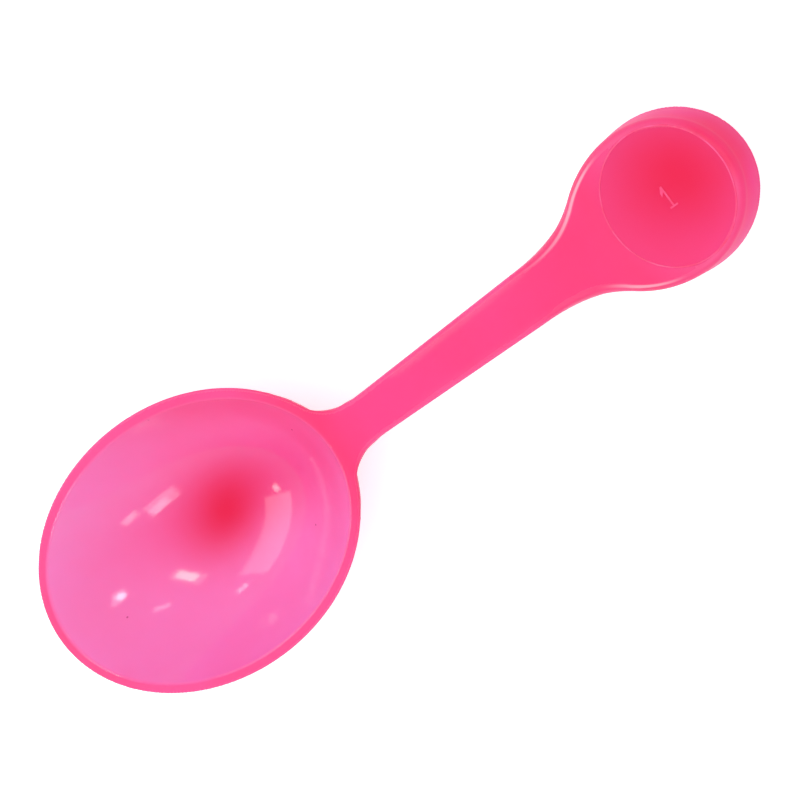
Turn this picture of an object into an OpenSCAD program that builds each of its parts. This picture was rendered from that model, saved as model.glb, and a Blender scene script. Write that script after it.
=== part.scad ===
// Double-ended measuring spoon, one moulding: a deep oval bowl that opens upwards, a handle, and
// a small cup at the far end that opens downwards. The spoon stands on its bowl and on the level
// mouth of the cup. The origin is on the table under the middle of the spoon, +X runs along the
// handle towards the cup and +Z points up.

/* [Overall] */
// Length over both ends
overall_l = 168; // [156:1:200]

/* [Bowl] */
// Length of the bowl over its rim
bowl_l = 76; // [60:1:82]
// Width of the bowl over its rim
bowl_w = 52; // [40:1:64]
// Height of the rim above the table
bowl_h = 17; // [14:0.5:26]
// Thickness of the floor
floor_t = 1.8; // [1:0.1:3]
// Width of the flat land on the rim
rim_w = 2; // [1.2:0.1:3]
// Height of the rim band
rim_h = 2; // [1.5:0.1:4]
// Height of the rim's upright outer face
rim_face_h = 0.6; // [0.2:0.1:1.2]
// Fullness of the bowl's section: 2 is a parabola, more is flatter below and steeper above
fullness = 2.5; // [2:0.1:3.2]

/* [Handle] */
// Width where the handle leaves the neck
handle_w = 8.2; // [6:0.1:12]
// Width where the handle starts to flare
handle_end_w = 10.5; // [8:0.1:14]
// Thickness at the edges
handle_t = 3.6; // [2.5:0.1:5]
// Rise of the top's middle over its edges
handle_crown = 0.2; // [0:0.1:1]
// How far the sides lean in, from the lower edge to the top
handle_lean = 0.4; // [0.1:0.1:1]
// Rounding of the top's edges, which grows along the flare to the whole border round the cup's disc
edge_r = 1.2; // [0.5:0.1:1.6]

/* [Neck] */
// Radius of the fillet between the rim and the handle
neck_r = 6.5; // [5:0.5:12]
// Thickness of the neck at the bowl
neck_t = 5; // [3.6:0.1:6]
// Thickness of the neck's edges at the bowl
neck_edge_t = 1.8; // [1.2:0.1:3.4]
// Length beyond the rim that stays level with it
neck_level_l = 3; // [1:0.5:6]

/* [Cup] */
// Width over the cup's mouth
cup_w = 29.4; // [26:0.2:34]
// Height of the cup
cup_h = 7.2; // [6:0.1:10]
// Thickness of the flat disc that closes the cup
disc_t = 1.8; // [1.2:0.1:2.6]
// Width of the rounded border between that flat disc and the cup's side
disc_border = 1.5; // [0.4:0.1:3]
// Wall left round the mouth
cup_wall_t = 1.8; // [1:0.1:2.2]
// How far the top's edge lies inside the mouth's edge
cup_lean = 0.5; // [0.3:0.1:2]
// Distance from the disc's centre back to the cup's widest place
cup_back = 2.7; // [1:0.1:5]

/* [Shoulder] */
// Length of the flare, from the handle to the cup's widest place
flare_l = 32.5; // [26:0.5:38]
// How much later the top's edge starts to flare
flare_lag = 4; // [2:0.5:8]
// Length of the top that is level, back from the disc's centre
level_l = 20; // [16:1:24]

/* [Hidden] */
pink = [1, 0.32, 0.58];
deep_pink = [1, 0.26, 0.5];
red_pink = [0.96, 0.2, 0.4];

// Facets round an oval, rings up the bowl, steps along the spoon and round an edge, facets of the
// cup's round parts, and how far a cut runs past a face
around = 64;
bowl_rings = 13;
neck_steps = 12;
handle_steps = 16;
shoulder_steps = 22;
edge_steps = 4;
crown_steps = 6;
side_steps = 8;
end_steps = 32;
disc_facets = 96;
mouth_facets = 48;
throat_facets = 32;
overrun = 1;

// Bowl places
bowl_a = bowl_l / 2;
bowl_b = bowl_w / 2;
bowl_x = bowl_a - overall_l / 2;
shell_h = bowl_h - rim_h;
face_z = bowl_h - rim_face_h;

// The neck's fillet touches the rim's oval at the angle where its centre has this distance from the axis
fillet_y = handle_w / 2 + neck_r;
function oval_normal(angle) =
    let (v = [cos(angle) / bowl_a, sin(angle) / bowl_b]) v / norm(v);
function fillet_centre(angle) = [bowl_a * cos(angle), bowl_b * sin(angle)] + neck_r * oval_normal(angle);
halvings = 30;
function touch_angle(low, high, left) =
    let (mid = (low + high) / 2)
    left == 0 ? mid
    : fillet_centre(mid)[1] > fillet_y ? touch_angle(low, mid, left - 1)
    : touch_angle(mid, high, left - 1);
touch = touch_angle(0, 90, halvings);
touch_x = bowl_x + bowl_a * cos(touch);
touch_y = bowl_b * sin(touch);
neck_x = bowl_x + fillet_centre(touch)[0];

// Cup places. The flare, like a fillet, takes at most a share of the bar between the neck and the cup
flare_limit_share = 0.55;
far_x = overall_l / 2;
disc_x = far_x - cup_w / 2;
wide_x = disc_x - cup_back;
disc_r = cup_w / 2 - cup_lean - disc_border;
joint_x = disc_x - disc_r - cup_wall_t / 2;
flare_x = wide_x - min(flare_l, flare_limit_share * (wide_x - neck_x));
level_x = disc_x - level_l;
skirt_x = (level_x + joint_x) / 2;
throat_x = flare_x + handle_end_w;
roof_z = cup_h - disc_t;
mouth_r = cup_w / 2 - cup_wall_t;
arc_share = 0.5;
ease_share = 0.25;

// Ovals of the bowl
function oval(a, b, z) =
    [for (i = [0:around - 1]) [bowl_x + a * cos(360 * i / around), b * sin(360 * i / around), z]];
function outer_oval(share) = oval(bowl_a * share, bowl_b * share, face_z * pow(share, fullness));
function inner_oval(share) =
    oval((bowl_a - rim_w) * share, (bowl_b - rim_w) * share,
        floor_t + (bowl_h - floor_t) * pow(share, fullness));
rim_oval = oval(bowl_a, bowl_b, bowl_h);
shell_share = pow(shell_h / face_z, 1 / fullness);
hollow_share = pow((shell_h - floor_t) / (bowl_h - floor_t), 1 / fullness);

// Triangles between ring k and ring m of n points each, and the closed surfaces built on them:
// one that a point closes at each end, and one whose last ring meets its first
function band(k, m, n) =
    [for (i = [0:n - 1]) let (j = (i + 1) % n)
        each [[k * n + i, m * n + i, m * n + j], [k * n + i, m * n + j, k * n + j]]];
module skin(rings, ends) {
    n = len(rings[0]);
    last = len(rings) - 1;
    end = n * len(rings);
    polyhedron(concat([for (r = rings) each r], ends), concat(
        [for (i = [0:n - 1]) [i, (i + 1) % n, end]],
        [for (k = [0:last - 1]) each band(k, k + 1, n)],
        [for (i = [0:n - 1]) [last * n + (i + 1) % n, last * n + i, end + 1]]));
}
module closed_skin(rings) {
    n = len(rings[0]);
    count = len(rings);
    polyhedron([for (r = rings) each r], [for (k = [0:count - 1]) each band(k, (k + 1) % count, n)]);
}

// A rise from 0 to 1 that starts and ends level, with a straight stretch between two bends
function ease(t) =
    let (s = max(0, min(1, t)), v = 1 / (1 - ease_share))
    s < ease_share ? v * s * s / (2 * ease_share)
    : s > 1 - ease_share ? 1 - v * (1 - s) * (1 - s) / (2 * ease_share)
    : v * (s - ease_share / 2);

// Two tangent arcs that carry a half-width from w0 at x0 to w1 at x1
function two_arcs(x, x0, w0, x1, w1) =
    let (l = x1 - x0, h = w1 - w0, sum_r = (l * l + h * h) / (2 * h), s = max(x, x0) - x0)
    let (r0 = sum_r * arc_share, r1 = sum_r - r0)
    s < l * arc_share ? w0 + r0 - sqrt(r0 * r0 - s * s) : w1 - r1 + sqrt(r1 * r1 - (l - s) * (l - s));

// Half-width of the underside's flat middle, and the length over which the crown rises
keel_w = handle_w / 3;
crown_l = 2 * handle_w;

// Half-widths at the lower edge and at the top's edge, along the spoon
function bar_w(x) = (handle_w + (handle_end_w - handle_w) * (x - neck_x) / (flare_x - neck_x)) / 2;
function low_w(x) =
    x < touch_x ? touch_y
    : x < neck_x ? handle_w / 2 + neck_r - sqrt(neck_r * neck_r - (neck_x - x) * (neck_x - x))
    : x < flare_x ? bar_w(x)
    : two_arcs(x, flare_x, handle_end_w / 2, wide_x, cup_w / 2);
function top_w(x) =
    x < flare_x ? low_w(x) - handle_lean
    : two_arcs(x, flare_x + flare_lag, handle_end_w / 2 - handle_lean, wide_x, cup_w / 2 - cup_lean);

// Heights of the top's edge and of the underside, along the spoon
rim_end_x = bowl_x + bowl_a;
level_end_x = rim_end_x + neck_level_l;
function top_z(x) = bowl_h - (bowl_h - cup_h) * ease((x - level_end_x) / (level_x - level_end_x));
function neck_part(x) = 1 - ease((x - touch_x) / (neck_x - touch_x));
function keel_t(x) = handle_t + (neck_t - handle_t) * neck_part(x);
function side_t(x) = handle_t + (neck_edge_t - handle_t) * neck_part(x);
function skirt_part(x) = ease((x - flare_x) / (skirt_x - flare_x));
function keel_z(x) = (top_z(x) - keel_t(x)) * (1 - skirt_part(x));
function low_z(x) = (top_z(x) - side_t(x)) * (1 - skirt_part(x));
function crown(x) =
    handle_crown * ease((x - neck_x) / crown_l) * (1 - ease((x - flare_x) / (joint_x - flare_x)));

// Rounding of the top's edges along the spoon
function rounding(x) = edge_r + (disc_border - edge_r) * ease((x - flare_x) / (joint_x - flare_x));

// One side of a section, from the lower edge up and round the top's edge: pairs of half-width and height
function side(low, top, z0, z1, r) =
    let (a = [low, z0], b = [top, z1], p = b + (a - b) * r / norm(a - b), q = b - [r, 0])
    concat([a], [for (i = [0:edge_steps]) let (t = i / edge_steps)
        (1 - t) * (1 - t) * p + 2 * t * (1 - t) * b + t * t * q]);
function section(x) =
    let (s = side(low_w(x), top_w(x), low_z(x), top_z(x), rounding(x)), n = len(s), q = s[n - 1])
    concat(
        [for (p = s) [x, p[0], p[1]]],
        [for (i = [1:crown_steps - 1]) let (y = 1 - 2 * i / crown_steps)
            [x, q[0] * y, q[1] + crown(x) * (1 - y * y)]],
        [for (i = [n - 1:-1:0]) [x, -s[i][0], s[i][1]]],
        [[x, -keel_w, keel_z(x)], [x, keel_w, keel_z(x)]]);
function middle(x) = [x, 0, (top_z(x) + keel_z(x)) / 2];
module stretch(x0, x1, steps) {
    skin([for (i = [0:steps]) section(x0 + (x1 - x0) * i / steps)], [middle(x0), middle(x1)]);
}

// Rings of the cup's outside, from its mouth up and round its top edge
function cup_ring(k) =
    let (p = side(cup_w / 2, cup_w / 2 - cup_lean, 0, cup_h, disc_border)[k], in = cup_w / 2 - p[0])
    let (back = [for (i = [0:side_steps - 1]) joint_x + (wide_x - joint_x) * i / side_steps])
    let (near = [for (x = back) let (s = side(low_w(x), top_w(x), 0, cup_h, disc_border)[k])
        [x, s[0], s[1]]])
    concat(
        [for (i = [0:side_steps - 1]) near[i]],
        [for (i = [0:end_steps]) let (t = 90 - 180 * i / end_steps)
            [wide_x + (far_x - wide_x - in) * cos(t), p[0] * sin(t), p[1]]],
        [for (i = [side_steps - 1:-1:0]) [near[i][0], -near[i][1], near[i][2]]]);
module cup_outside() {
    skin([for (k = [0:edge_steps + 1]) cup_ring(k)], [[disc_x, 0, 0], [disc_x, 0, cup_h]]);
}

// The hollow of the cup: round under the disc, and drawn out towards the handle under the shoulder
module hollow() {
    hull() {
        translate([disc_x, 0, -overrun])
            cylinder(h = overrun, r = mouth_r, $fn = mouth_facets);
        translate([disc_x, 0, 0])
            cylinder(h = roof_z, r1 = mouth_r, r2 = mouth_r - cup_lean / 2, $fn = mouth_facets);
        translate([throat_x, 0, -overrun])
            cylinder(h = overrun + handle_t / 2, r = handle_end_w / 2, $fn = throat_facets);
    }
}

// The bowl: its outside up to the rim band, its hollow, and the whole outside that cuts the neck
shell_rings = [for (k = [1:bowl_rings]) outer_oval(shell_share * k / bowl_rings)];
hollow_rings = [for (k = [bowl_rings:-1:1]) inner_oval(hollow_share * k / bowl_rings)];
module bowl_outside() {
    skin(concat(shell_rings, [outer_oval(1), rim_oval]), [[bowl_x, 0, 0], [bowl_x, 0, bowl_h]]);
}
module bowl() {
    color(pink)
        skin(concat(shell_rings, hollow_rings), [[bowl_x, 0, 0], [bowl_x, 0, floor_t]]);
}
module bowl_rim() {
    color(deep_pink)
        closed_skin([
            outer_oval(shell_share), outer_oval(1), rim_oval, inner_oval(1), inner_oval(hollow_share)]);
}
module neck() {
    color(deep_pink)
        difference() {
            stretch(touch_x - neck_t, neck_x, neck_steps);
            bowl_outside();
        }
}
module handle() {
    color(pink)
        stretch(neck_x, flare_x, handle_steps);
}
module shoulder() {
    color(pink)
        difference() {
            stretch(flare_x, joint_x, shoulder_steps);
            hollow();
        }
}
module cup_wall() {
    color(pink)
        difference() {
            cup_outside();
            hollow();
            translate([disc_x, 0, roof_z])
                cylinder(h = disc_t + overrun, r = disc_r, $fn = disc_facets);
        }
}
module cup_base() {
    color(red_pink)
        translate([disc_x, 0, roof_z])
            cylinder(h = disc_t, r = disc_r, $fn = disc_facets);
}

bowl();
bowl_rim();
neck();
handle();
shoulder();
cup_wall();
cup_base();
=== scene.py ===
import itertools
import math

import bpy
import numpy as np
from mathutils import Matrix, Vector


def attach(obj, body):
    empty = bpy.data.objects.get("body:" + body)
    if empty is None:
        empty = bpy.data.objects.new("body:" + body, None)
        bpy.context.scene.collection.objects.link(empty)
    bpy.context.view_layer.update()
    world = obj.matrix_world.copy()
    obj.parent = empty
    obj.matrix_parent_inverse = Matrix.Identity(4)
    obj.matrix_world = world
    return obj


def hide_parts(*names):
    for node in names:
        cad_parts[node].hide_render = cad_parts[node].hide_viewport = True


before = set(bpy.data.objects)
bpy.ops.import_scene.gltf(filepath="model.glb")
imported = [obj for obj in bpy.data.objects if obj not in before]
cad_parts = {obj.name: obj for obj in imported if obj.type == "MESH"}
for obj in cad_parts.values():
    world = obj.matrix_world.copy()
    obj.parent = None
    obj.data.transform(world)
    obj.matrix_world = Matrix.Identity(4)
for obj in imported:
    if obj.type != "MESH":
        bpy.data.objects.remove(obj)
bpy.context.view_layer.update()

MM = 0.001

# Sizes in millimetres, the same as the solids' but for the flare, which starts 0.5 mm later
OVERALL_L = 168.0
BOWL_A, BOWL_B, BOWL_H = 38.0, 26.0, 17.0
FLOOR_T, RIM_W, RIM_FACE_H = 1.8, 2.0, 0.6
FULLNESS = 2.5
HANDLE_W, HANDLE_END_W, HANDLE_T = 8.2, 10.5, 3.6
HANDLE_CROWN = 0.2
NECK_R, NECK_T, NECK_EDGE_T, NECK_LEVEL_L = 6.5, 5.0, 1.8, 3.0
CUP_W, CUP_H, DISC_T, DISC_BORDER = 29.4, 7.2, 1.8, 1.5
CUP_WALL_T, CUP_LEAN, CUP_BACK = 1.8, 0.5, 2.7
FLARE_L, FLARE_LAG, LEVEL_L = 32.0, 4.0, 20.0
ARC_SHARE, EASE_SHARE = 0.5, 0.25

# Roundings of the edges, and the length over which the rim's grows into the handle's
RIM_ROUND, MOUTH_ROUND, HANDLE_ROUND, FLARE_ROUND, CUP_ROUND = 0.45, 0.3, 0.8, 1.8, 1.4
FOOT_ROUND, HOLLOW_ROUND, ROOF_ROUND, WEB_ROUND = 0.3, 0.5, 1.0, 1.2
WEB_DEPTH, WEB_LEAST = 4.0, 0.02
EDGE_RUN_L = 4.0

# How the flanks lean, and how far the neck's draw in below its top, by its outline's slope
HANDLE_LEAN, LEAN_L = 0.1, 8.0
NECK_UNDERCUT, STEEPEST = 0.9, 1.5

# The neck's run-out into the handle, and how the oval goes on, hidden, inside the neck
RUN_OUT, RUN_OUT_X, RISE_L, FALL_L = 0.85, -8.0, 6.0, 8.0
FLUSH_L, HIDDEN_BEND = 4.5, 0.12

# How fast the cup's hollow widens sideways in its throat
THROAT_SPREAD = 0.25

# Steps for slopes, how far the fits run on past their ends, and guards against division by zero
STEP, HEIGHT_STEP, FIELD_STEP = 0.02, 0.05, 0.01
PAST_END, LEAST_W = 0.2, 1.0
TINY, TINY_L, TINY_NORM = 1e-9, 1e-6, 1e-12
HALVINGS, HEIGHT_HALVINGS = 40, 30

# Places along the spoon
BOWL_X = BOWL_A - OVERALL_L / 2
FACE_Z = BOWL_H - RIM_FACE_H
FAR_X = OVERALL_L / 2
DISC_X = FAR_X - CUP_W / 2
WIDE_X = DISC_X - CUP_BACK
DISC_R = CUP_W / 2 - CUP_LEAN - DISC_BORDER
JOINT_X = DISC_X - DISC_R - CUP_WALL_T / 2
FLARE_X = WIDE_X - FLARE_L
LEVEL_X = DISC_X - LEVEL_L
SKIRT_X = (LEVEL_X + JOINT_X) / 2
ROOF_Z = CUP_H - DISC_T
MOUTH_R = CUP_W / 2 - CUP_WALL_T
LEVEL_END_X = BOWL_X + BOWL_A + NECK_LEVEL_L
KEEL_W = HANDLE_W / 3
CROWN_L = 2 * HANDLE_W


def fillet_centre(angle):
    """Centre of the neck's fillet that touches the rim's oval at an angle."""
    c, s = math.cos(angle), math.sin(angle)
    n = Vector((c / BOWL_A, s / BOWL_B)).normalized()
    return Vector((BOWL_A * c, BOWL_B * s)) + NECK_R * n


def touch_angle():
    """Angle at which the fillet also touches the handle's side."""
    low, high = 0.0, math.pi / 2
    for _ in range(HALVINGS):
        mid = (low + high) / 2
        if fillet_centre(mid).y > HANDLE_W / 2 + NECK_R:
            high = mid
        else:
            low = mid
    return low


TOUCH = touch_angle()
TOUCH_X = BOWL_X + BOWL_A * math.cos(TOUCH)
NECK_X = BOWL_X + fillet_centre(TOUCH).x


# The spoon's outline and heights as functions of the place along it
def ease(t):
    """From 0 to 1 with a parabola at either end and a straight run between them."""
    s = np.clip(t, 0, 1)
    v = 1 / (1 - EASE_SHARE)
    start = v * s * s / (2 * EASE_SHARE)
    end = 1 - v * (1 - s) ** 2 / (2 * EASE_SHARE)
    return np.select([s < EASE_SHARE, s > 1 - EASE_SHARE], [start, end], v * (s - EASE_SHARE / 2))


def slope_of(curve, x, step):
    return (curve(x + step) - curve(x - step)) / (2 * step)


def two_arcs(x, x0, w0, x1, w1):
    """Width that grows from w0 to w1 along two arcs that touch each other."""
    l, h = x1 - x0, w1 - w0
    total = (l * l + h * h) / (2 * h)
    r0 = total * ARC_SHARE
    r1 = total - r0
    s = np.clip(x - x0, 0, l)
    first = w0 + r0 - np.sqrt(np.maximum(r0 * r0 - s * s, 0))
    second = w1 - r1 + np.sqrt(np.maximum(r1 * r1 - (l - s) ** 2, 0))
    return np.where(s < l * ARC_SHARE, first, second)


def outline(x):
    """Half the width of the neck, the handle and the flare."""
    rim = BOWL_B * np.sqrt(np.maximum(1 - ((x - BOWL_X) / BOWL_A) ** 2, 0))
    bend = HIDDEN_BEND * np.maximum(TOUCH_X - FLUSH_L - x, 0) ** 2
    hidden = np.maximum(rim - bend, HANDLE_W / 2)
    fillet = HANDLE_W / 2 + NECK_R - np.sqrt(np.maximum(NECK_R**2 - (NECK_X - x) ** 2, 0))
    bar = (HANDLE_W + (HANDLE_END_W - HANDLE_W) * (x - NECK_X) / (FLARE_X - NECK_X)) / 2
    flare = two_arcs(x, FLARE_X, HANDLE_END_W / 2, WIDE_X, CUP_W / 2)
    extra = RUN_OUT * ease((x - RUN_OUT_X) / RISE_L + 1) * (1 - ease((x - RUN_OUT_X) / FALL_L))
    parts = [x < TOUCH_X, x < NECK_X, x < FLARE_X]
    return extra + np.select(parts, [hidden, fillet, bar], flare)


def low_w(x):
    """Half the width at the foot of the flanks."""
    narrowing = np.clip(-slope_of(outline, x, STEP), 0, STEEPEST)
    return outline(x) - NECK_UNDERCUT * narrowing


def top_w(x):
    """Half the width at the top of the flanks."""
    start_x, start_w = FLARE_X + FLARE_LAG, HANDLE_END_W / 2 - HANDLE_LEAN
    flare = two_arcs(x, start_x, start_w, WIDE_X, CUP_W / 2 - CUP_LEAN)
    return np.where(x < FLARE_X, outline(x) - HANDLE_LEAN * ease((x - NECK_X) / LEAN_L), flare)


def top_z(x):
    return BOWL_H - (BOWL_H - CUP_H) * ease((x - LEVEL_END_X) / (LEVEL_X - LEVEL_END_X))


def under_z(x, neck_t):
    """Height of the underside, which goes from the neck's thickness to the cup's skirt."""
    neck = 1 - ease((x - TOUCH_X) / (NECK_X - TOUCH_X))
    skirt = ease((x - FLARE_X) / (SKIRT_X - FLARE_X))
    return (top_z(x) - HANDLE_T - (neck_t - HANDLE_T) * neck) * (1 - skirt)


def keel_z(x):
    return under_z(x, NECK_T)


def low_z(x):
    return under_z(x, NECK_EDGE_T)


def crown(x):
    """How far the top rises in the middle."""
    end = ease((x - FLARE_X) / (JOINT_X - FLARE_X))
    return HANDLE_CROWN * ease((x - NECK_X) / CROWN_L) * (1 - end)


def edge_round(x):
    """Rounding of the top's edges: the rim's, the handle's, the flare's and the cup's."""
    sizes = (
        (HANDLE_ROUND, TOUCH_X, LEVEL_END_X - TOUCH_X + EDGE_RUN_L),
        (FLARE_ROUND, FLARE_X, LEVEL_X - FLARE_X),
        (CUP_ROUND, LEVEL_X, DISC_X - LEVEL_X),
    )
    result = last = RIM_ROUND
    for size, start, length in sizes:
        result = result + (size - last) * ease((x - start) / length)
        last = size
    return result


# Rounded union and intersection of distance fields, which are negative inside
def joined(a, b, r):
    u, v = np.maximum(r - a, 0), np.maximum(r - b, 0)
    return np.maximum(r, np.minimum(a, b)) - np.sqrt(u * u + v * v)


def common(a, b, r):
    u, v = np.maximum(r + a, 0), np.maximum(r + b, 0)
    return np.minimum(-r, np.maximum(a, b)) + np.sqrt(u * u + v * v)


def oval(dx, y, a, b):
    """Share of an oval's size that a place lies at, and how fast this share grows."""
    share = np.sqrt((dx / a) ** 2 + (y / b) ** 2) + TINY
    return share, np.sqrt((dx / a**2) ** 2 + (y / b**2) ** 2) / share


def dish(x, y, z, a, b, low, high):
    """Distances above a dish, as high as a power of the oval's share, and beyond its oval."""
    share, grow = oval(x - BOWL_X, y, a, b)
    height = low + (high - low) * share**FULLNESS
    rise = (high - low) * FULLNESS * share ** (FULLNESS - 1)
    return (z - height) / np.sqrt(1 + (rise * grow) ** 2), (share - 1) / grow


def flank(x, y, z):
    """Distance outside the leaning flank, in the section across the spoon."""
    w0, w1, z0, z1 = low_w(x), top_w(x), low_z(x), top_z(x)
    dw, dz = w1 - w0, z1 - z0
    return ((np.abs(y) - w0) * dz - (z - z0) * dw) / np.sqrt(dw * dw + dz * dz)


def body_side(x, y, z):
    """Distance outside the flanks of the handle, the flare and the cup."""
    near = np.minimum(x, WIDE_X)
    here = flank(near, y, z)
    slope = (here - flank(near - STEP, y, z)) / STEP
    bar = here / np.sqrt(1 + slope * slope)
    inset = CUP_LEAN * np.clip(z / CUP_H, -PAST_END, 1 + PAST_END)
    dx = np.maximum(x - WIDE_X, TINY_L)
    share, grow = oval(dx, y, FAR_X - WIDE_X - inset, CUP_W / 2 - inset)
    lean = CUP_H / math.hypot(CUP_H, CUP_LEAN)
    return np.where(x < WIDE_X, bar, (share - 1) / grow * lean)


def below_bar(x, y, z):
    """Distance below the underside, which is lowest along its middle."""
    keel, low, edge = keel_z(x), low_z(x), low_w(x)
    under = keel + (low - keel) * np.clip((np.abs(y) - KEEL_W) / (edge - KEEL_W), 0, 1)
    return (under - z) / np.sqrt(1 + slope_of(keel_z, x, HEIGHT_STEP) ** 2)


def above_top(x, y, z):
    """Distance above the rim's face, the crowned handle and the disc."""
    share = np.clip(y / np.maximum(top_w(x), LEAST_W), -1 - PAST_END, 1 + PAST_END)
    top = top_z(x) + crown(x) * (1 - share**2)
    return (z - top) / np.sqrt(1 + slope_of(top_z, x, HEIGHT_STEP) ** 2)


def cavity(x, y, z):
    """Distance outside the hollow under the cup and its throat towards the handle."""
    throat_x, throat_r, throat_h = FLARE_X + HANDLE_END_W, HANDLE_END_W / 2, HANDLE_T / 2
    span = DISC_X - throat_x
    t = np.clip((x - throat_x) / span + np.abs(y) / span * THROAT_SPREAD, 0, 1)
    r = throat_r + (MOUTH_R - throat_r) * t - CUP_LEAN / 2 * z / ROOF_Z
    plan = np.sqrt((x - throat_x - span * t) ** 2 + y * y) - r
    climb = np.clip((x - throat_x) / (span - MOUTH_R), 0, 1)
    roof = z - (throat_h + (ROOF_Z - throat_h) * climb)
    return common(plan, roof, ROOF_ROUND)


def field(p):
    """Distance outside the moulding."""
    x, y, z = p[:, 0], p[:, 1], p[:, 2]
    above, beyond = dish(x, y, z, BOWL_A, BOWL_B, 0.0, FACE_Z)
    bowl = common(-above, beyond, RIM_ROUND)
    bar = common(body_side(x, y, z), below_bar(x, y, z), FOOT_ROUND)
    bar = np.maximum(bar, TOUCH_X - NECK_T - x)
    web = WEB_ROUND * np.clip((FACE_Z - z) / WEB_DEPTH, WEB_LEAST, 1)
    solid = common(joined(bowl, bar, web), above_top(x, y, z), edge_round(x))
    hollow, _ = dish(x, y, z, BOWL_A - RIM_W, BOWL_B - RIM_W, FLOOR_T, BOWL_H)
    solid = common(solid, hollow, MOUTH_ROUND)
    return common(solid, -cavity(x, y, z), HOLLOW_ROUND)


def gradient(p, h=FIELD_STEP):
    g = np.empty_like(p)
    for k in range(3):
        q = np.zeros(3)
        q[k] = h
        g[:, k] = (field(p + q) - field(p - q)) / (2 * h)
    return g


def unit(vectors):
    return vectors / (np.linalg.norm(vectors, axis=1)[:, None] + TINY_NORM)


# The net of quads on the field's surface: its cells in millimetres, and how it is smoothed
QUICK_CELL, FINE_CELL, GRID_MARGIN = 0.7, 0.35, 1.1
COARSE, COARSE_REACH = 4, 3.2
LEAST_SLOPE_SQUARED, RELAX_SHARE = 0.05, 0.6


def grid_values(low, n, cell):
    """The field on a grid, worked out only near the surface, and 1 or -1 elsewhere."""
    m = np.ceil(n / COARSE).astype(int) + 1
    axes = [low[k] + cell * COARSE * np.arange(m[k]) for k in range(3)]
    big = field(np.stack(np.meshgrid(*axes, indexing="ij"), -1).reshape(-1, 3)).reshape(m)
    for k in range(3):
        big = np.repeat(big, COARSE, k)
    near = np.abs(big) < cell * COARSE * COARSE_REACH
    values = np.where(big > 0, 1.0, -1.0)
    values[near] = field(low + cell * np.argwhere(near))
    return values[: n[0], : n[1], : n[2]]


def surface_net(low, high, cell):
    """A point in each cell that the surface crosses, and a quad round each crossed edge."""
    low, high = np.array(low, float), np.array(high, float)
    n = np.ceil((high - low) / cell).astype(int) + 1
    inside = grid_values(low, n, cell) < 0
    count = np.zeros(n - 1, np.int8)
    for i, j, k in itertools.product((0, 1), repeat=3):
        count += inside[i : n[0] - 1 + i, j : n[1] - 1 + j, k : n[2] - 1 + k]
    crossed = (count > 0) & (count < 8)
    cells = np.argwhere(crossed)
    number = np.full(crossed.shape, -1, np.int64)
    number[crossed] = np.arange(len(cells))

    quads = []
    for k in range(3):
        a, b = (k + 1) % 3, (k + 2) % 3
        first, second = [slice(None)] * 3, [slice(None)] * 3
        first[k], second[k] = slice(0, -1), slice(1, None)
        leaving = inside[tuple(first)]
        at = np.argwhere(leaving != inside[tuple(second)])
        keep = (at[:, a] > 0) & (at[:, b] > 0) & (at[:, a] < n[a] - 1) & (at[:, b] < n[b] - 1)
        at = at[keep]
        ids = []
        for da, db in ((-1, -1), (0, -1), (0, 0), (-1, 0)):
            q = at.copy()
            q[:, a] += da
            q[:, b] += db
            ids.append(number[tuple(q.T)])
        quad = np.stack(ids, -1)
        entering = ~leaving[tuple(at.T)]
        quad[entering] = quad[entering][:, ::-1]
        quads.append(quad)
    return low + cell * (cells + 0.5), np.concatenate(quads)


def pull(points, turns):
    """Points moved onto the surface along the field's slope."""
    for _ in range(turns):
        g = gradient(points)
        share = field(points) / np.maximum((g * g).sum(1), LEAST_SLOPE_SQUARED)
        points = points - share[:, None] * g
    return points


def relax(points, quads, turns):
    """Points evened out along the surface, towards the mean of their neighbours."""
    n = len(points)
    a = quads.ravel()
    b = np.roll(quads, -1, 1).ravel()
    ends, others = np.concatenate([a, b]), np.concatenate([b, a])
    degree = np.bincount(ends, minlength=n)
    for _ in range(turns):
        sums = [np.bincount(ends, points[others, k], n) for k in range(3)]
        move = RELAX_SHARE * (np.stack(sums, -1) / degree[:, None] - points)
        g = unit(gradient(points))
        move -= (move * g).sum(1)[:, None] * g
        points = pull(points + move, 1)
    return points


def add_object(name, data):
    o = bpy.data.objects.new(name, data)
    bpy.context.scene.collection.objects.link(o)
    return o


def make_mesh(name, points, faces, normals=None, smooth=True):
    """An object from points in millimetres."""
    mesh = bpy.data.meshes.new(name)
    mesh.from_pydata((np.array(points) * MM).tolist(), [], faces)
    mesh.update()
    if smooth:
        mesh.shade_smooth()
    if normals is not None:
        mesh.normals_split_custom_set_from_vertices(normals.tolist())
    return add_object(name, mesh)


low = (-FAR_X - GRID_MARGIN, -BOWL_B - GRID_MARGIN, -GRID_MARGIN)
high = (FAR_X + GRID_MARGIN, BOWL_B + GRID_MARGIN, BOWL_H + GRID_MARGIN)
points, quads = surface_net(low, high, FINE_CELL)
points = relax(pull(points, turns=4), quads, turns=4)
points = pull(points, turns=2)
moulding = make_mesh("moulding", points, quads.tolist(), unit(gradient(points)))

# The fine ring on the disc and the plain numeral, raised from the moulding's surface
RING_R, RING_W, RING_H = 12.6, 0.3, 0.09
DIGIT_H, DIGIT_W, DIGIT_STROKE, DIGIT_RISE = 4.2, 1.7, 0.34, 0.12
FLAG_DROP, FLAG_T = 1.0, 0.7
BEVEL_START, BEVEL_W = 0.6, 0.08
SEARCH_H = 2.0


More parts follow.
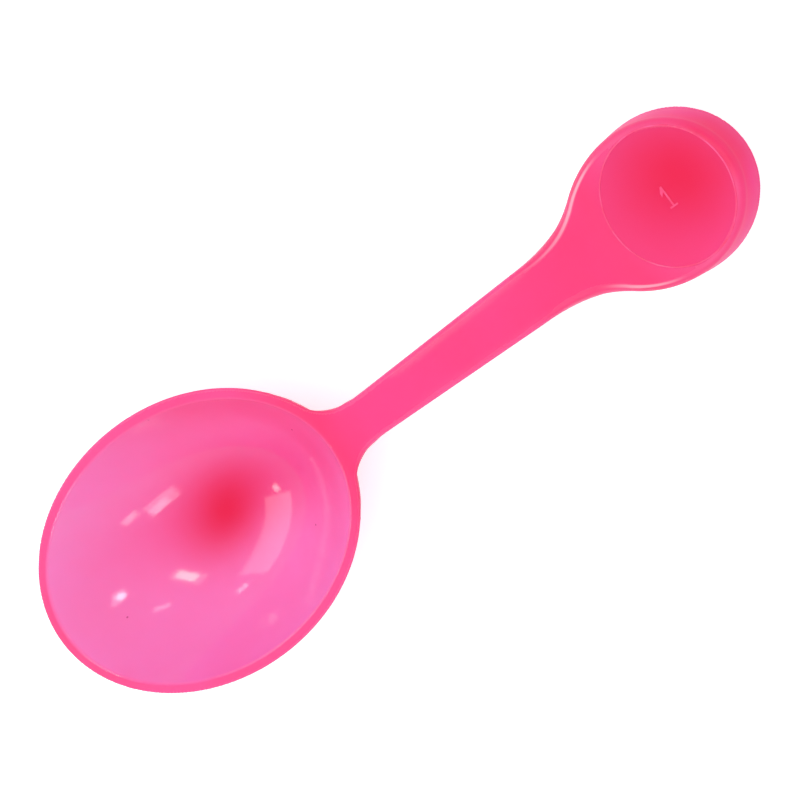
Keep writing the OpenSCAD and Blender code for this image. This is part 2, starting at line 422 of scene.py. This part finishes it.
def surface_z(x, y):
    """Height of the moulding's top at a place on the cup."""
    low = np.full(len(x), CUP_H - SEARCH_H)
    high = np.full(len(x), CUP_H + SEARCH_H)
    for _ in range(HEIGHT_HALVINGS):
        mid = (low + high) / 2
        inside = field(np.stack([x, y, mid], -1)) < 0
        low, high = np.where(inside, mid, low), np.where(inside, high, mid)
    return (low + high) / 2


def ring_mesh(turns=180, sides=10):
    a = (np.arange(turns) * 2 * math.pi / turns)[:, None]
    b = np.arange(sides) * 2 * math.pi / sides
    z = surface_z((DISC_X + RING_R * np.cos(a)).ravel(), (RING_R * np.sin(a)).ravel())
    r = RING_R + RING_W / 2 * np.cos(b)[None, :]
    z = z[:, None] + RING_H * np.sin(b)[None, :]
    points = np.stack([DISC_X + r * np.cos(a), r * np.sin(a), z], -1)
    number = np.arange(turns * sides).reshape(turns, sides)
    onward = np.roll(number, -1, 0)
    faces = np.stack([number, onward, np.roll(onward, -1, 1), np.roll(number, -1, 1)], -1)
    return points.reshape(-1, 3), faces.reshape(-1, 4).tolist()


def offset(outline, d):
    """The outline drawn in by d, with its corners kept sharp."""
    result = []
    for i, b in enumerate(outline):
        a, c = outline[i - 1], outline[(i + 1) % len(outline)]
        u, v = (b - a).normalized(), (c - b).normalized()
        nu, nv = Vector((u.y, -u.x)), Vector((v.y, -v.x))
        result.append(b - (nu + nv) / (1 + nu.dot(nv)) * d)
    return result


def digit_mesh():
    s, w, h = DIGIT_STROKE / 2, DIGIT_W / 2, DIGIT_H / 2
    foot = -h + 2 * s
    right = [(-w, -h), (w, -h), (w, foot), (s, foot), (s, h), (-s, h)]
    left = [(-w, h - FLAG_DROP), (-w, h - (FLAG_DROP + FLAG_T)), (-s, h - FLAG_DROP)]
    outline = [Vector(p) for p in [*right, *left, (-s, foot), (-w, foot)]]
    layers = [
        (outline, -DIGIT_RISE),
        (outline, DIGIT_RISE * BEVEL_START),
        (offset(outline, BEVEL_W), DIGIT_RISE),
    ]
    n = len(outline)
    points = [(DISC_X + p.x, p.y, CUP_H + rise) for ring, rise in layers for p in ring]
    faces = []
    for start in (0, n):
        for i in range(n):
            a, b = start + i, start + (i + 1) % n
            faces.append((a, b, b + n, a + n))
    faces.append(tuple(range(2 * n, 3 * n)))
    faces.append(tuple(reversed(range(n))))
    return points, faces


# Nodes of the materials
class Graph:
    def __init__(self, tree):
        self.tree = tree

    def node(self, kind, inputs=None, **settings):
        n = self.tree.nodes.new(kind)
        for name, value in settings.items():
            setattr(n, name, value)
        self.fill(n.inputs, inputs or {})
        return n

    def fill(self, sockets, values):
        """Links what comes from a node, and sets what is the same everywhere."""
        for key, value in values.items():
            socket = sockets[key]
            if hasattr(value, "is_output"):
                self.tree.links.new(value, socket)
            elif isinstance(value, tuple) and len(value) == 3 and socket.type == "RGBA":
                socket.default_value = (*value, 1.0)
            else:
                socket.default_value = value

    def math(self, operation, *values):
        return self.node("ShaderNodeMath", dict(enumerate(values)), operation=operation).outputs[0]

    def product(self, first, *others):
        return self.math("MULTIPLY", first, self.product(*others)) if others else first

    def squares(self, u, v):
        return self.math("ADD", self.product(u, u), self.product(v, v))

    def length(self, u, v):
        return self.math("SQRT", self.squares(u, v))

    def axes(self, vector):
        return self.node("ShaderNodeSeparateXYZ", {0: vector}).outputs

    def scaled(self, value, low, high, to=(0.0, 1.0), kind="LINEAR"):
        ends = {"From Min": low, "From Max": high, "To Min": to[0], "To Max": to[1]}
        n = self.node("ShaderNodeMapRange", {"Value": value, **ends}, interpolation_type=kind)
        return n.outputs["Result"]

    def smooth(self, value, low, high):
        return self.scaled(value, low, high, kind="SMOOTHSTEP")

    def window(self, value, rise, fall):
        """1 between two smooth steps, one up and one down."""
        return self.product(self.smooth(value, *rise), self.smooth(value, *fall))

    def mix(self, share, first, second, kind="MIX"):
        n = self.node("ShaderNodeMix", data_type="RGBA", blend_type=kind)
        self.fill(n.inputs, {0: share, 6: first, 7: second})
        return n.outputs[2]

    def ramp(self, value, stops):
        n = self.node("ShaderNodeValToRGB", {"Fac": value})
        marks = n.color_ramp.elements
        while len(marks) < len(stops):
            marks.new(0.5)
        for mark, (place, colour) in zip(marks, stops):
            mark.position = place
            mark.color = (*colour, 1.0)
        return n.outputs["Color"]

    def noise(self, place, scale, detail, roughness=0.5):
        inputs = {"Vector": place, "Scale": scale, "Detail": detail, "Roughness": roughness}
        return self.node("ShaderNodeTexNoise", inputs).outputs[0]

    def spot(self, x, y, centre, radii, turn):
        """1 at the centre and falling off like a bell over an oval."""
        c, s = math.cos(turn), math.sin(turn)
        dx, dy = self.math("SUBTRACT", x, centre[0]), self.math("SUBTRACT", y, centre[1])
        u = self.math("ADD", self.product(dx, c / radii[0]), self.product(dy, s / radii[0]))
        v = self.math("ADD", self.product(dx, -s / radii[1]), self.product(dy, c / radii[1]))
        return self.math("EXPONENT", self.product(self.squares(u, v), -1.0))

    # A bell-shaped spot of painted shade, blended into the colour
    def painted_shade(self, colour, x, y, where, tone):
        return self.mix(self.spot(x, y, *where), colour, tone)

    def patch(self, x, y, ends_x, ends_y, tones):
        """Four tones at the corners of a rectangle, blended between them."""
        along, over = self.scaled(x, *ends_x), self.scaled(y, *ends_y)
        return self.mix(along, self.mix(over, *tones[:2]), self.mix(over, *tones[2:]))


def new_material(name):
    material = bpy.data.materials.new(name)
    material.use_nodes = True
    tree = material.node_tree
    return material, Graph(tree), tree.nodes["Principled BSDF"].inputs


# Tones of the wall, the rim, the neck, the handle, the flare and the cup, by place in millimetres
BODY_TONES = (
    (-84, (0.96, 0.075, 0.262)),
    (-72, (0.975, 0.086, 0.31)),
    (-46, (0.975, 0.08, 0.3)),
    (-20, (0.975, 0.071, 0.278)),
    (-11, (0.975, 0.05, 0.21)),
    (-9, (0.97, 0.04, 0.19)),
    (-4, (0.97, 0.047, 0.225)),
    (0, (0.97, 0.052, 0.251)),
    (12, (0.965, 0.052, 0.247)),
    (28, (0.965, 0.049, 0.229)),
    (50, (0.96, 0.041, 0.191)),
    (56, (0.945, 0.043, 0.187)),
    (63, (0.935, 0.052, 0.228)),
)

# Painted light on the handle's edges, which look lighter: half its width in centimetres by place,
# the tone and its share
HALF_WIDTHS = ((-6, 0.41), (34, 0.525), (50, 0.9), (60, 1.0))
EDGE_SIDE, EDGE_RISE, EDGE_FALL = (7.0, 10.0), (-6.0, 0.0), (56.0, 44.0)
LIT_EDGE_TONE, LIT_EDGE_SHARE = (0.96, 0.085, 0.31), 0.8

# The bowl's inside: four tones, then painted shade: a long halo of it and a deep red contact shade
# over its lowest point, where it rests on the ground
WALL_ENDS = (-82.0, -10.0), (-24.0, 24.0)
WALL_TONES = (0.93, 0.145, 0.465), (0.94, 0.3, 0.695), (1.0, 0.247, 0.664), (1.0, 0.071, 0.214)
SHADE_HALO, SHADE_HALO_TONE = ((-39.9, 2.7), (30.0, 9.1), -0.119), (0.875, 0.063, 0.27)
CONTACT_SHADE, CONTACT_SHADE_TONE = ((-46.2, 1.9), (10.8, 6.8), 0.315), (0.79, 0.001, 0.068)
WALL_EDGE = 1.015, 0.985

# The cup's disc: four tones and painted shade towards its far side, over the closed hollow under
# it
DISC_ENDS = (56.0, 82.0), (-12.0, 12.0)
DISC_TONES = (0.95, 0.047, 0.21), (0.885, 0.06, 0.25), (0.97, 0.084, 0.36), (0.82, 0.1, 0.4)
DISC_SHADE, DISC_SHADE_TONE = ((73.3, 2.1), (16.4, 14.6), -0.434), (0.845, 0.007, 0.077)
DISC_EDGE = 12.7, 12.3

# The border and wall round the disc: by share of the cup's height, in the middle and on the flanks
BORDER_TONES = (
    (0.14, (0.97, 0.04, 0.235), (1.0, 0.04, 0.28)),
    (0.42, (0.96, 0.008, 0.17), (1.0, 0.01, 0.25)),
    (0.7, (0.96, 0.001, 0.138), (1.0, 0.001, 0.2)),
    (0.92, (0.92, 0.034, 0.165), (0.95, 0.045, 0.22)),
    (0.99, (0.9, 0.014, 0.132), (0.93, 0.075, 0.26)),
)
BORDER_EDGE, BORDER_START = (12.6, 13.0), (-14.0, 3.0)
MIDDLE_Y, MIDDLE_FADE = 2.5, (3.0, 9.0)

# Painted highlight: light that gathers in the flare's rounded edges, by their tilt and place
BAND_TILT = (0.12, 0.25), (0.5, 0.35)
BAND_X = (34.0, 56.0), (64.0, 57.0)
BAND_RIGHT_X = 47.0, 55.0
BAND_TONE, BAND_SHARE = (1.0, 0.42, 0.54), 0.8

# Dust specks in the bowl
DUST_SCALE, DUST_CHOSEN, DUST_SIZE, DUST_EDGE = 110.0, 0.75, (0.024, 0.012), (1.0, 0.97)
DUST_TONE, DUST_SHARE = (0.35, 0.01, 0.06), 0.6

# Noises as scale, detail and roughness, and what they do to the shade, the gloss and the surface
CLOUD, GRAIN, WEAR = (60.0, 3.0, 0.5), (900.0, 4.0, 0.6), (140.0, 5.0, 0.65)
NOISE_ENDS, SHADE, GLOSS = (0.3, 0.7), (0.94, 1.06), (0.06, 0.12)
GRAIN_SHARE, WEAR_SHARE = 0.4, 0.6
CLOUD_BUMP, GRAIN_BUMP, BUMP_STRENGTH, BUMP_DISTANCE = 1.5, 0.15, 0.25, 0.00006

# The flanks and the cup's border are finer ground, so they shine less
FLANK_TILT, FLANK_EDGE, RIM_END, MATT_ROUGHNESS = (0.02, 0.1), (1.03, 1.06), (-4.0, -8.0), 0.42

IOR, SUBSURFACE, SCATTER, SCATTER_SCALE = 1.42, 0.25, (1.0, 0.3, 0.5), 0.0012


def body_colour(g, x, y):
    share = g.scaled(x, -FAR_X, FAR_X)

    def along(stops):
        return g.ramp(share, [((mm + FAR_X) / OVERALL_L, tone) for mm, tone in stops])

    half_width = along([(mm, (width,) * 3) for mm, width in HALF_WIDTHS])
    side = g.math("ABSOLUTE", g.math("DIVIDE", y, half_width))
    # Painted light along the handle's edges
    lit_edges = g.product(g.smooth(side, *EDGE_SIDE), g.window(x, EDGE_RISE, EDGE_FALL))
    return g.mix(g.product(lit_edges, LIT_EDGE_SHARE), along(BODY_TONES), LIT_EDGE_TONE)


def wall_colour(g, x, y):
    wall = g.patch(x, y, *WALL_ENDS, WALL_TONES)
    # Painted shade: a long halo, and a deep red spot where the bowl's lowest point meets the
    # ground
    wall = g.painted_shade(wall, x, y, SHADE_HALO, SHADE_HALO_TONE)
    return g.painted_shade(wall, x, y, CONTACT_SHADE, CONTACT_SHADE_TONE)


def disc_colour(g, x, y):
    disc = g.patch(x, y, *DISC_ENDS, DISC_TONES)
    # Painted shade over the closed hollow under the disc
    return g.painted_shade(disc, x, y, DISC_SHADE, DISC_SHADE_TONE)


def border_colour(g, y, z):
    high = g.scaled(z, 0.0, CUP_H)
    middle = g.ramp(high, [(place, tone) for place, tone, _ in BORDER_TONES])
    flanks = g.ramp(high, [(place, tone) for place, _, tone in BORDER_TONES])
    beside = g.smooth(g.math("ABSOLUTE", g.math("SUBTRACT", y, MIDDLE_Y)), *MIDDLE_FADE)
    return g.mix(beside, middle, flanks)


def light_band(g, x, y, across):
    right = g.math("MAXIMUM", g.math("GREATER_THAN", y, 0.0), g.smooth(x, *BAND_RIGHT_X))
    return g.product(g.window(across, *BAND_TILT), g.window(x, *BAND_X), right)


def dust(g, place, inner):
    cells = g.node(
        "ShaderNodeTexVoronoi", {"Vector": place, "Scale": DUST_SCALE}, voronoi_dimensions="2D"
    ).outputs
    chosen = g.math("GREATER_THAN", g.axes(cells["Color"])[0], DUST_CHOSEN)
    return g.product(g.smooth(cells["Distance"], *DUST_SIZE), chosen, g.smooth(inner, *DUST_EDGE))


def plastic_material():
    material, g, shader = new_material("pink_plastic")
    place = g.node("ShaderNodeTexCoord").outputs["Object"]
    scale = {0: place, 1: (1 / MM,) * 3}
    x, y, z = g.axes(g.node("ShaderNodeVectorMath", scale, operation="MULTIPLY").outputs[0])
    facing = g.axes(g.node("ShaderNodeNewGeometry").outputs["Normal"])
    across = g.math("ABSOLUTE", facing[1])

    # Where the place lies: as a share of the bowl's mouth, and from the disc's middle
    dx = g.math("SUBTRACT", x, BOWL_X)
    share_x = g.math("DIVIDE", dx, BOWL_A - RIM_W)
    inner = g.length(share_x, g.math("DIVIDE", y, BOWL_B - RIM_W))
    dx = g.math("SUBTRACT", x, DISC_X)
    radius = g.length(dx, y)
    border = g.product(g.smooth(radius, *BORDER_EDGE), g.smooth(dx, *BORDER_START))

    colour = g.mix(g.smooth(inner, *WALL_EDGE), body_colour(g, x, y), wall_colour(g, x, y))
    colour = g.mix(g.smooth(radius, *DISC_EDGE), colour, disc_colour(g, x, y))
    colour = g.mix(border, colour, border_colour(g, y, z))
    # Painted highlight along the flare's rounded edges
    colour = g.mix(g.product(light_band(g, x, y, across), BAND_SHARE), colour, BAND_TONE)
    colour = g.mix(g.product(dust(g, place, inner), DUST_SHARE), colour, DUST_TONE)

    # Slow changes of shade, as in moulded plastic, and uneven gloss
    cloud, grain, wear = (g.noise(place, *values) for values in (CLOUD, GRAIN, WEAR))
    shade = g.scaled(cloud, *NOISE_ENDS, to=SHADE)
    tint = g.node("ShaderNodeCombineColor", {0: 1.0, 1: shade, 2: shade}).outputs[0]
    colour = g.mix(1.0, colour, tint, "MULTIPLY")
    uneven = g.math("ADD", g.product(grain, GRAIN_SHARE), g.product(wear, WEAR_SHARE))
    gloss = g.scaled(uneven, *NOISE_ENDS, to=GLOSS)
    along_rim = g.product(g.math("ABSOLUTE", facing[0]), g.smooth(x, *RIM_END))
    tilt = g.math("MAXIMUM", across, along_rim)
    flank = g.product(g.smooth(tilt, *FLANK_TILT), g.smooth(inner, *FLANK_EDGE))
    ground = g.product(g.math("MAXIMUM", flank, border), MATT_ROUGHNESS)

    height = g.math("ADD", g.product(cloud, CLOUD_BUMP), g.product(grain, GRAIN_BUMP))
    bump = {"Strength": BUMP_STRENGTH, "Distance": BUMP_DISTANCE, "Height": height}
    g.fill(
        shader,
        {
            "Base Color": colour,
            "Roughness": g.math("MAXIMUM", gloss, ground),
            "Normal": g.node("ShaderNodeBump", bump).outputs[0],
            "IOR": IOR,
            "Subsurface Weight": SUBSURFACE,
            "Subsurface Radius": SCATTER,
            "Subsurface Scale": SCATTER_SCALE,
        },
    )
    return material


# The ring and the numeral: tones by the noise's value, and roughness
MARK_NOISE, MARK_ROUGHNESS = (220.0, 4.0), (0.15, 0.3)
MARK_TONES = (0.35, (0.98, 0.045, 0.17)), (0.65, (1.0, 0.1, 0.3))


def mark_material():
    material, g, shader = new_material("raised_mark")
    cloud = g.noise(g.node("ShaderNodeTexCoord").outputs["Object"], *MARK_NOISE)
    rough = g.scaled(cloud, 0.0, 1.0, to=MARK_ROUGHNESS)
    g.fill(shader, {"Base Color": g.ramp(cloud, MARK_TONES), "Roughness": rough, "IOR": IOR})
    return material


plastic = plastic_material()
mark = mark_material()
moulding.data.materials.append(plastic)
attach(moulding, "root")
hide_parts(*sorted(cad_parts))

ring = make_mesh("disc_ring", *ring_mesh())
digit = make_mesh("numeral", *digit_mesh(), smooth=False)
for o in (ring, digit):
    o.data.materials.append(mark)
    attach(o, "root")

# The camera, in millimetres and degrees, fitted to the photograph's outline
AIM = Vector((3.42, -0.97, 10.0))
REACH, LENS, SENSOR_W, CLIP_START = 800.0, 202.21, 36, 50.0
TILT, TURN, ROLL = math.radians(31.9), math.radians(36.2), math.radians(0.14)
level = Vector((0, 1, 0))
forward = Vector((math.cos(TILT), 0, -math.sin(TILT)))
outward = Vector((math.sin(TILT), 0, math.cos(TILT)))
side = math.cos(ROLL) * level + math.sin(ROLL) * outward
back = math.cos(ROLL) * outward - math.sin(ROLL) * level
right = math.cos(TURN) * forward - math.sin(TURN) * side
up = math.sin(TURN) * forward + math.cos(TURN) * side
camera = add_object("camera", bpy.data.cameras.new("camera"))
pose = Matrix((right, up, back)).transposed().to_4x4()
camera.matrix_world = Matrix.Translation((AIM + REACH * back) * MM) @ pose
camera.data.sensor_width = SENSOR_W
camera.data.lens = LENS
camera.data.clip_start = CLIP_START * MM
bpy.context.scene.camera = camera

# Lamps seen from the bowl: azimuth, elevation, width, height and turn, then radiance and colour
WHITE, DAYLIGHT, WARM = (1.0, 1.0, 1.0), (0.93, 0.96, 1.0), (1.0, 0.95, 0.85)
SOFT_LAMPS = (
    ("softbox", -40, 87, 75, 65, 0, 1.065, WHITE),
    ("fill", 135, 22, 60, 20, 0, 0.5, WHITE),
)
MIRRORED_LAMPS = (
    ("window", -114, 42.5, 15, 12, 12, 4.0, DAYLIGHT),
    ("window_top", -112, 45, 9, 7, 25, 4.5, DAYLIGHT),
    ("pane", -95.5, 37, 7, 6, 0, 6.0, WARM),
    ("ceiling_white", -3, 60, 6, 4, 20, 18.0, (1.0, 0.97, 1.0)),
    ("ceiling_glow", -4, 59, 11, 7, -15, 4.0, (1.0, 0.97, 1.0)),
    ("ceiling_warm", 103, 72, 5, 14, 20, 14.0, (1.0, 0.84, 0.6)),
    ("ceiling_warm_glow", 103, 71, 8, 22, 20, 3.0, (1.0, 0.9, 0.75)),
    ("strip", 65, 56, 9, 3, 0, 6.0, (1.0, 0.95, 0.9)),
    ("gap", 119, 32, 5, 4, 0, 7.0, (1.0, 0.97, 0.95)),
    ("gap_back", 178, 33, 4, 4, 0, 9.0, WARM),
    ("wide_side", 151, 36, 38, 20, 0, 2.8, (1.0, 0.98, 0.97)),
)
LAMP_REACH = 1.2


def lamp(name, azimuth, elevation, wide, high, turn, radiance, colour, soft):
    """A lamp that lights the object without showing in it, or that only shows in its gloss."""
    a, e, t = (math.radians(v) for v in (azimuth, elevation, turn))
    out = Vector((math.cos(e) * math.cos(a), math.cos(e) * math.sin(a), math.sin(e)))
    tangent = Vector((-math.sin(a), math.cos(a), 0))
    upward = out.cross(tangent)
    u = math.cos(t) * tangent + math.sin(t) * upward
    v = math.cos(t) * upward - math.sin(t) * tangent
    sx, sy = (2 * LAMP_REACH * math.tan(math.radians(s) / 2) for s in (wide, high))
    data = bpy.data.lights.new(name, "AREA")
    data.shape = "RECTANGLE"
    data.size, data.size_y = sx, sy
    data.energy = radiance * math.pi * sx * sy
    data.color = colour
    o = add_object(name, data)
    o.visible_diffuse = soft
    o.visible_glossy = not soft
    middle = Vector((BOWL_X, 0, BOWL_H / 2)) * MM + LAMP_REACH * out
    o.matrix_world = Matrix.Translation(middle) @ Matrix((u, v, out)).transposed().to_4x4()


for row in SOFT_LAMPS:
    lamp(*row, soft=True)
for row in MIRRORED_LAMPS:
    lamp(*row, soft=False)

# The white ground, brighter to the camera and in reflections than the light alone makes it
FLOOR_HALF_W = 3000.0
FLOOR_TONE, FLOOR_ROUGHNESS, SEEN_GLOW, MIRRORED_GLOW = (0.85, 0.85, 0.85), 0.8, 0.55, 0.35
ends = ((-1, -1), (1, -1), (1, 1), (-1, 1))
corners = [(FLOOR_HALF_W * i, FLOOR_HALF_W * j, 0.0) for i, j in ends]
floor = make_mesh("floor", corners, [(0, 1, 2, 3)], smooth=False)
white, g, shader = new_material("white_ground")
path = g.node("ShaderNodeLightPath").outputs
mirrored = g.math("MAXIMUM", path["Is Glossy Ray"], path["Is Transmission Ray"])
seen = g.product(path["Is Camera Ray"], SEEN_GLOW)
seen = g.math("MAXIMUM", seen, g.product(mirrored, MIRRORED_GLOW))
g.fill(
    shader,
    {
        "Base Color": FLOOR_TONE,
        "Roughness": FLOOR_ROUGHNESS,
        "Emission Color": WHITE,
        "Emission Strength": seen,
    },
)
floor.data.materials.append(white)

# A soft room: dimmer overhead, and brightest low down on the cup's side
ROOM_GLOW, SIDE_GLOW, CUP_SIDE, LOW_DOWN = 0.67, 0.6, (-0.5, 0.6), (0.25, 0.02)
world = bpy.data.worlds.new("world")
bpy.context.scene.world = world
world.use_nodes = True
g = Graph(world.node_tree)
sky = g.axes(g.node("ShaderNodeTexCoord").outputs["Generated"])
bright = g.product(g.smooth(sky[0], *CUP_SIDE), SIDE_GLOW)
glow = g.math("ADD", g.product(g.smooth(sky[2], *LOW_DOWN), bright), ROOM_GLOW)
g.fill(world.node_tree.nodes["Background"].inputs, {"Color": WHITE, "Strength": glow})

bpy.context.scene.view_settings.view_transform = "Standard"
